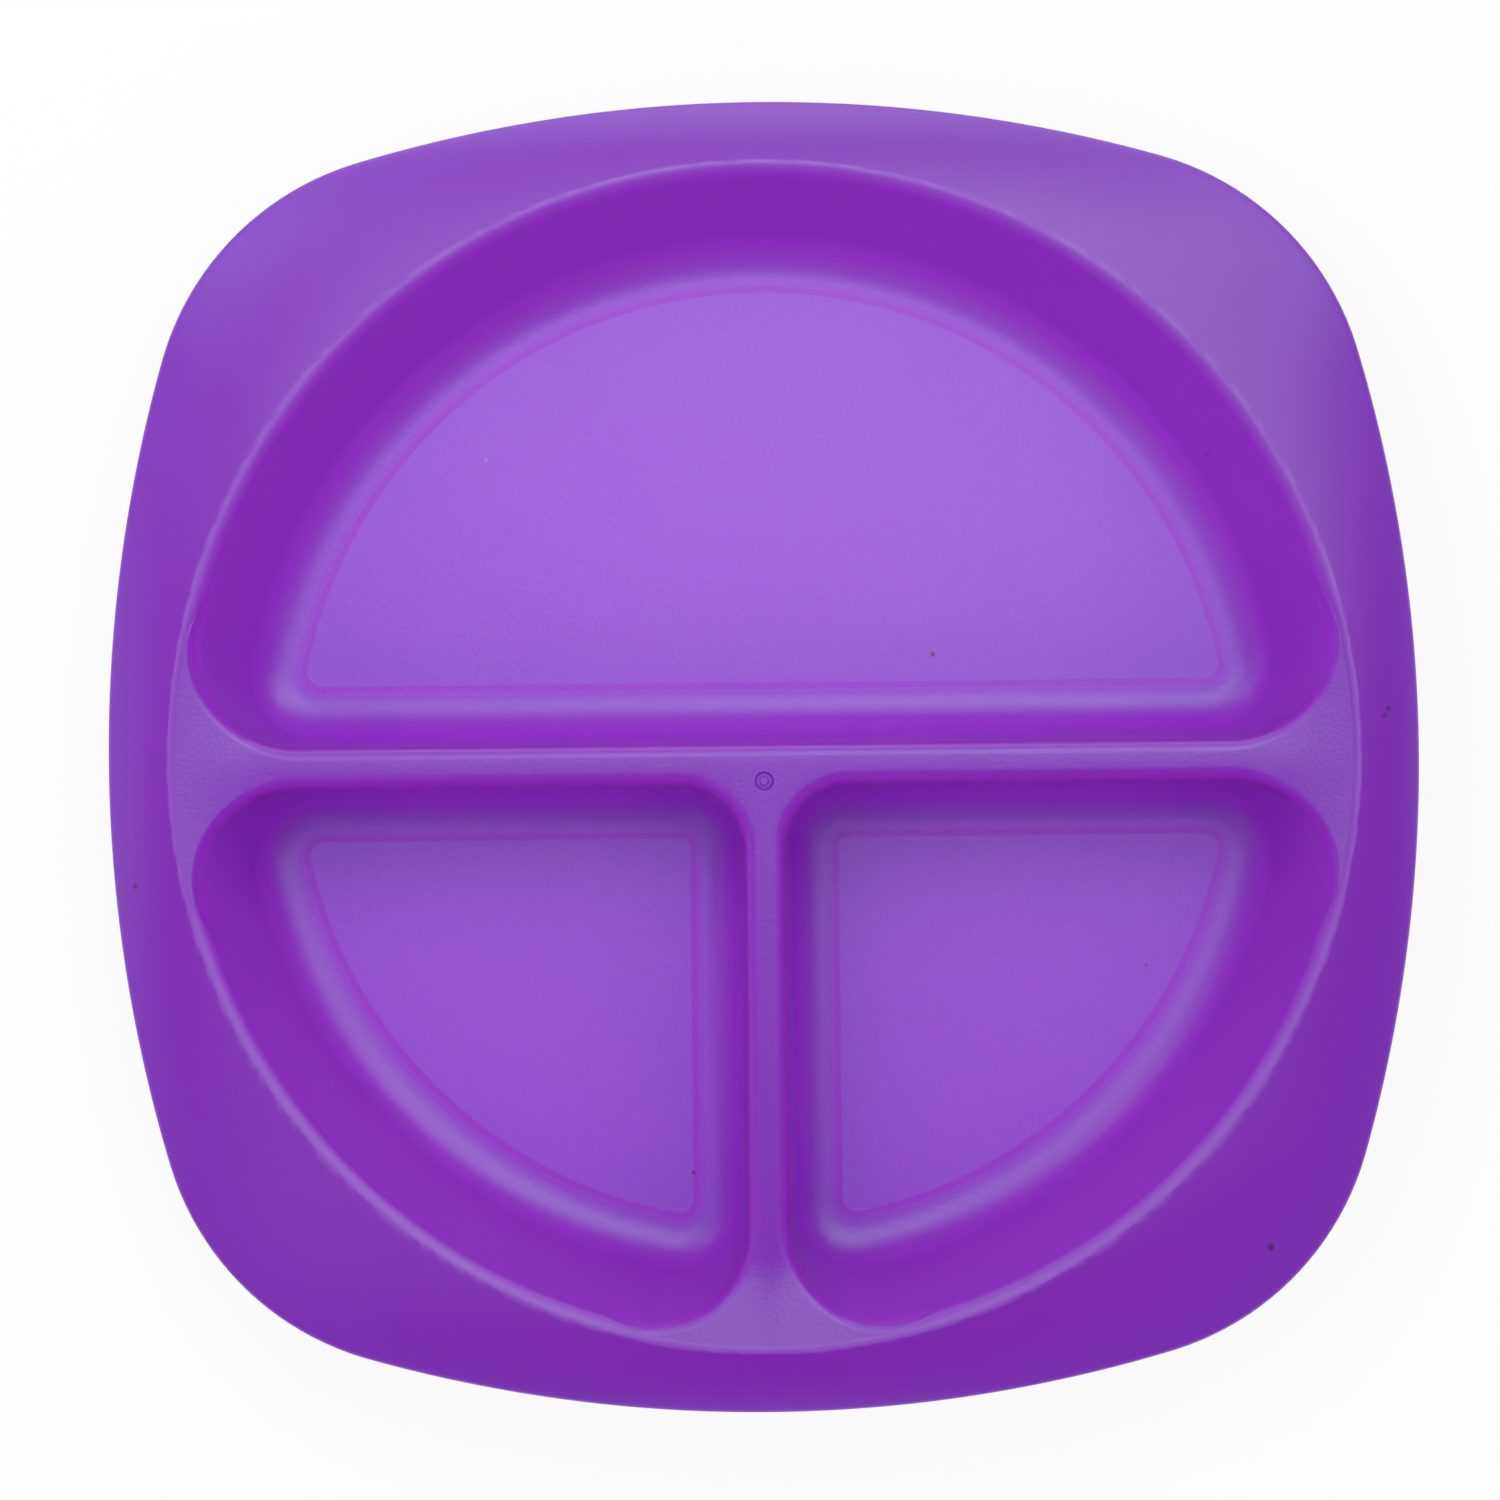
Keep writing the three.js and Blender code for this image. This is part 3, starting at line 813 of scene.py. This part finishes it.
roughness = satin_roughness - wall_polish * wall_and_painted_glow_area - top_polish * top_area
roughness = roughness + mottle_depth * (mottle - noise_middle)
matt = smooth_grain + matt_grain * top_area + matt_grain * floor_area
bumps = paint.node(
    "Bump",
    {},
    {"Strength": grain_strength, "Distance": grain_depth, "Height": grain * matt},
)
shader = paint.node(
    "BsdfPrincipled",
    {},
    {
        "Base Color": colour,
        "Roughness": roughness,
        "Normal": bumps,
        "Specular IOR Level": 1,
        "Specular Tint": sheen_tint,
        "Subsurface Weight": 1,
        "Subsurface Radius": glow_reach,
        "Subsurface Scale": glow_depth,
    },
)
paint.node("OutputMaterial", {}, {"Surface": shader})
plate_mesh.materials.append(plastic)

# The table top, a wide white board. The camera sees it a clear white that still takes a faint
# shadow from the plate.
table_half = 1.5
board_white = (0.9, 0.9, 0.9, 1)
clear_white = (1, 1, 1, 1)
board_glow = 0.9
table_plan = [
    complex(-table_half, -table_half),
    complex(table_half, -table_half),
    complex(table_half, table_half),
    complex(-table_half, table_half),
]
table_mesh = bpy.data.meshes.new("table_top")
table_mesh.from_pydata([(point.real, point.imag, 0) for point in table_plan], [], [range(4)])
table = bpy.data.objects.new("table_top", table_mesh)
bpy.context.scene.collection.objects.link(table)

board, paint = fresh_material("white_board")
seen = paint.node("LightPath", {}, {}, "Is Camera Ray")
for ray in ("Is Glossy Ray", "Is Transmission Ray"):
    seen = paint.maths("MAXIMUM", seen, paint.node("LightPath", {}, {}, ray))
lit = paint.node("BsdfDiffuse", {}, {"Color": board_white})
white = paint.node("Emission", {}, {"Color": clear_white, "Strength": 1})
shader = paint.node("MixShader", {}, {0: board_glow * seen, 1: lit, 2: white})
paint.node("OutputMaterial", {}, {"Surface": shader})
table_mesh.materials.append(board)

# Studio light: a white room, soft boxes and panels round the far half of the plate that only give
# it its sheen, and three fills without any sheen.
room_light = 0.8
room_hidden_from_sheen = 0.62
room_seen = 1 - room_light

world = bpy.data.worlds.new("studio")
world.use_nodes = True
world.node_tree.nodes.clear()
paint = Feed(world.node_tree, None)
mirrored_ray = paint.node("LightPath", {}, {}, "Is Glossy Ray")
seen_ray = paint.node("LightPath", {}, {}, "Is Camera Ray")
world_level = room_light - room_hidden_from_sheen * mirrored_ray + room_seen * seen_ray
room = paint.node("Background", {}, {"Color": clear_white, "Strength": world_level})
paint.node("OutputWorld", {}, {"Surface": room})
bpy.context.scene.world = world


def lamp(name, place, width, length, power, diffuse=True, sheen=True):
    light = bpy.data.lights.new(name, "AREA")
    light.shape = "RECTANGLE"
    light.size = width
    light.size_y = length
    light.energy = power
    stand = bpy.data.objects.new(name, light)
    stand.location = place
    stand.visible_diffuse = diffuse
    stand.visible_glossy = sheen
    aim = Vector((0, 0, rim_top / 2)) - Vector(place)
    stand.rotation_euler = aim.to_track_quat("-Z", "Y").to_euler()
    bpy.context.scene.collection.objects.link(stand)


lamp("soft_box", (0.0, 0.11, 0.415), width=0.3, length=0.2, power=0.44, diffuse=False)
lamp("far_box", (0.08, 0.25, 0.375), width=0.35, length=0.2, power=0.42, diffuse=False)
lamp("right_box", (0.24, 0.06, 0.42), width=0.15, length=0.3, power=0.13, diffuse=False)
lamp("right_panel", (0.33, 0.33, 0.32), width=0.25, length=0.25, power=0.4, diffuse=False)
lamp("left_panel", (-0.33, 0.33, 0.32), width=0.25, length=0.25, power=0.36, diffuse=False)
lamp("back_panel", (0.0, 0.685, 0.14), width=0.7, length=0.2, power=1.25, diffuse=False)
lamp("side_panel", (-0.64, 0.0, 0.2), width=0.25, length=0.3, power=0.22, diffuse=False)
lamp("near_box", (-0.19, -0.19, 0.38), width=0.2, length=0.2, power=0.08, diffuse=False)
lamp("back_fill", (-0.065, 0.115, 0.275), width=0.15, length=0.15, power=0.24, sheen=False)
lamp("front_fill", (0.0, -0.25, 0.4), width=0.2, length=0.2, power=0.12, sheen=False)
lamp("right_fill", (0.3, 0.25, 0.42), width=0.2, length=0.2, power=0.06, sheen=False)

# The camera, straight above the plate and turned a little.
film_width = 36
focal_length = 135.5
camera_height = 800 * mm
camera_place = (-1.97 * mm, 1.03 * mm, rim_top + camera_height)
camera_turn = radians(-0.6)
camera_data = bpy.data.cameras.new("camera")
camera_data.sensor_width = film_width
camera_data.lens = focal_length
camera = bpy.data.objects.new("camera", camera_data)
camera.location = camera_place
camera.rotation_euler = (0, 0, camera_turn)
bpy.context.scene.collection.objects.link(camera)
bpy.context.scene.camera = camera
bpy.context.scene.view_settings.view_transform = "Standard"
